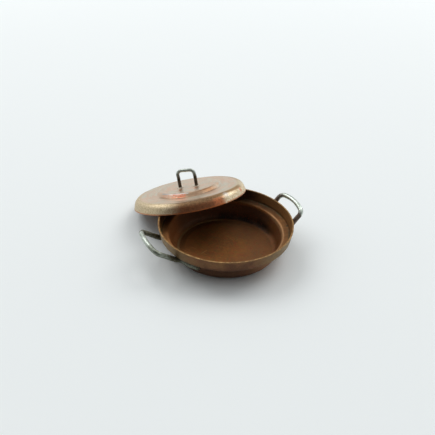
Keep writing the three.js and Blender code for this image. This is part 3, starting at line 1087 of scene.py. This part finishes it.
def left_handle_finish(place):
    """Duller than the right one, burnt up to its rear corner and grey at the front one."""
    f = Finish("left handle's wire", place)
    reach = f.ragged(f.x, 2.4)
    heat = 0.2 + f.between(reach, 17.6, 16.4) * 0.8
    rear_corner = f.between(f.y, -3, -3.9) * f.between(reach, 20.9, 20.1)
    cut_end = f.stain((10.8, 8.7, 3.7), 0.35, 0.3, 0.3)
    return burnt_wire(
        f, f.maths("MAXIMUM", heat, rear_corner * 0.95), near_foot(f) * (1 - cut_end),
        f.between(f.y, 1.4, 2.8) * 0.9, burnt=(paint(62, 60, 44), paint(94, 88, 68)))


def loop_finish(place):
    f = Finish("loop's wire", place)
    return burnt_wire(f, 0.25 + f.between(f.ragged(f.z, 1.6), 7.6, 6.4) * 0.75)


def solder_finish(name, dull, bright, place=Matrix()):
    f = Finish(name, place)
    grain = f.noise(3, 4, 0.6)
    colour = f.coats(
        f.blend(f.between(grain, 0.35, 0.7), dull, bright),
        brown_patches=(f.mottle(2, 0.56, 0.68) * 0.8, paint(70, 56, 42)))
    return f.surface({
        "Base Color": colour, "Metallic": 0.6, "Roughness": 0.48 + grain * 0.2,
        "Normal": f.bump(grain, 0.05)})


def floor_finish():
    """Pale, with a painted glow that brightens it far off, where it meets the pale walls."""
    f = Finish("pale floor")
    glow = f.blend(f.between(f.radius, *FLOOR_GLOW_REACH), (0, 0, 0, 1), FLOOR_GLOW)
    return f.surface({
        "Base Color": paint(237, 241, 241), "Roughness": 0.9, "Emission Color": glow,
        "Emission Strength": 1})


# The camera stands where the photograph's did, from the rim's centre on the axis

def camera():
    data = bpy.data.cameras.new("camera")
    focal = RIM_PIXELS * VIEW_DISTANCE / RIM_RADIUS
    data.lens = data.sensor_width * focal / FRAME_PIXELS
    data.clip_start = VIEW_DISTANCE * MM / 10
    data.clip_end = FARTHEST_SEEN
    turn = (Matrix.Rotation(VIEW_TURN, 4, "Z")
            @ Matrix.Rotation(math.pi / 2 - VIEW_ELEVATION, 4, "X")
            @ Matrix.Rotation(VIEW_ROLL, 4, "Z"))
    across = (RIM_CENTRE_PIXEL[0] - FRAME_PIXELS / 2) / focal * VIEW_DISTANCE
    up = -(RIM_CENTRE_PIXEL[1] - FRAME_PIXELS / 2) / focal * VIEW_DISTANCE
    rim_centre = Vector((across, up, -VIEW_DISTANCE))
    eye = Vector((0, 0, PAN_HEIGHT)) - turn.to_3x3() @ rim_centre
    stand = bpy.data.objects.new("camera", data)
    stand.matrix_world = Matrix.Translation(eye * MM) @ turn
    bpy.context.collection.objects.link(stand)
    bpy.context.scene.camera = stand


def from_camera(right, back, up):
    """A place or direction given as the camera sees it, with up along Z."""
    return Matrix.Rotation(VIEW_TURN, 3, "Z") @ Vector((right, back, up))


def lamp(name, place, size, watts):
    """A round soft lamp that points at the pan."""
    data = bpy.data.lights.new(name, "AREA")
    data.shape = "DISK"
    data.size = size
    data.energy = watts
    stand = bpy.data.objects.new(name, data)
    stand.location = place
    stand.rotation_euler = (-place).to_track_quat("-Z", "Y").to_euler()
    bpy.context.collection.objects.link(stand)


def surroundings():
    """Pale walls all round, darker on the camera's side, and pale wherever the camera looks."""
    world = bpy.data.worlds.new("surroundings")
    n = Nodes(world)
    way = n.node("SeparateXYZ", {}, {"Vector": n.node("TexCoord", output="Generated")})
    viewer = from_camera(0, -1, 0)
    facing = way.output("X") * viewer.x + way.output("Y") * viewer.y
    level = WALL_LEVEL - n.between(facing, *BY_CAMERA) * DARKER_BY_CAMERA
    seen = n.node("LightPath", output="Is Camera Ray")
    shader = n.node("Background", {}, {
        "Color": WALL_COLOUR, "Strength": n.maths("MAXIMUM", level, seen * SEEN_WALL_LEVEL)})
    output = n.tree.nodes.new("ShaderNodeOutputWorld")
    n.tree.links.new(shader.socket, output.inputs["Surface"])
    bpy.context.scene.world = world


def studio():
    surroundings()
    for side in (-1, 1):
        lamp("soft light", from_camera(side * LAMP_ASIDE, LAMP_BACK, LAMP_UP), LAMP_SIZE,
             LAMP_WATTS)
    bpy.ops.mesh.primitive_plane_add(size=FLOOR_SIZE)
    floor = bpy.context.object
    floor.name = "floor"
    floor.data.materials.append(floor_finish())


def main():
    camera()
    studio()
    lid = lid_place()
    half_turn = Matrix.Rotation(math.pi, 4, "Z")
    copper_pan(pan_outside(), pan_inside(), cut_edge("worn copper of the rim"))
    copper_lid(lid, lid_outside(lid), lid_inside(lid),
               cut_edge("worn copper of the lid's edge", lid))
    wire_handle("right_wire_handle", RIGHT_TILTS, Matrix(), "right_handle",
                right_handle_finish(), RIGHT_HANDLE_WAVES)
    wire_handle("left_wire_handle", LEFT_TILTS, half_turn, "left_handle",
                left_handle_finish(half_turn), LEFT_HANDLE_WAVES)
    wire_loop(lid, loop_finish(lid))
    core = pan_core()
    solder = solder_finish("solder", paint(88, 92, 80), paint(142, 146, 130))
    for hand, tilts, place, rear in (
            ("right", RIGHT_TILTS, Matrix(), 1), ("left", LEFT_TILTS, half_turn, -1)):
        for end, side, seed in (("rear", rear, 2), ("front", -rear, 5)):
            foot_solder(f"{hand}_{end}_lump", tilts, side, place, f"{hand}_{end}_solder",
                        solder, core, seed)
    bpy.data.objects.remove(core)
    bead = solder_finish("bright solder", paint(168, 152, 130), paint(214, 204, 186), lid)
    for hand, side, seed in (("left", 1, 7), ("right", -1, 5)):
        loop_bead(f"loop_{hand}_bead", side, lid, f"loop_{hand}_solder", bead, seed)


main()
bpy.context.scene.view_settings.view_transform = "Standard"
